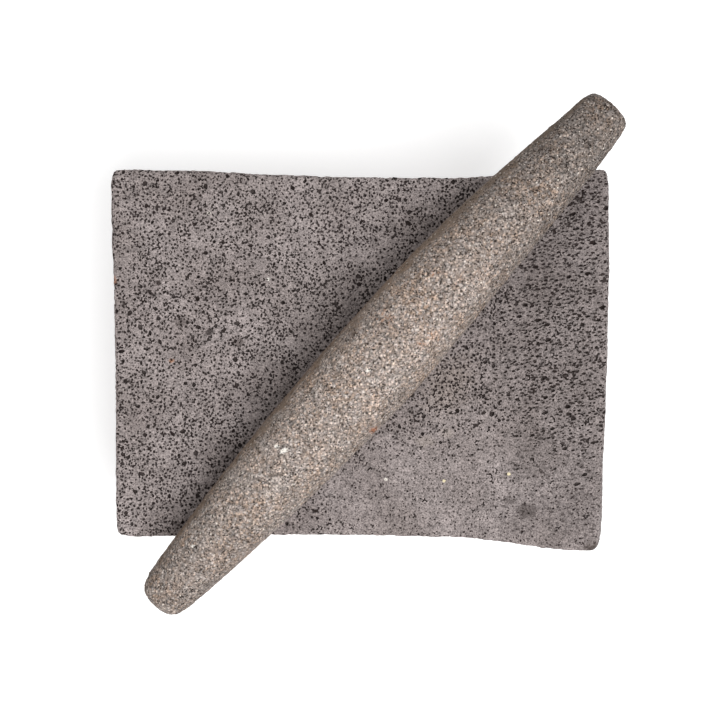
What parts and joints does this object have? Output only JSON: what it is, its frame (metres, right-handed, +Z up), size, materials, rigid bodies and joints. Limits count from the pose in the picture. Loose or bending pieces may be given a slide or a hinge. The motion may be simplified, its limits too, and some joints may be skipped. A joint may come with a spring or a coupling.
{
  "type": "saddle quern stone",
  "caption": "Saddle quern of vesicular basalt: a dished rectangular slab on carved legs, with a long spindle-shaped hand stone resting slantwise across it.",
  "frame": {"origin": "on the surface that the feet stand on, under the middle of the whole part's box", "axes": "+Z up, +X along the slab from its low end to its high end, +Y across it towards the back long edge"},
  "size_m": [0.3874, 0.3852, 0.1983],
  "materials": {
    "quern_stone": "rough pecked grey vesicular basalt",
    "hand_stone": "rough granular warm grey basalt"
  },
  "bodies": {
    "root": {"quern_slab": "quern_stone", "hand_stone": "hand_stone"}
  },
  "joints": []
}
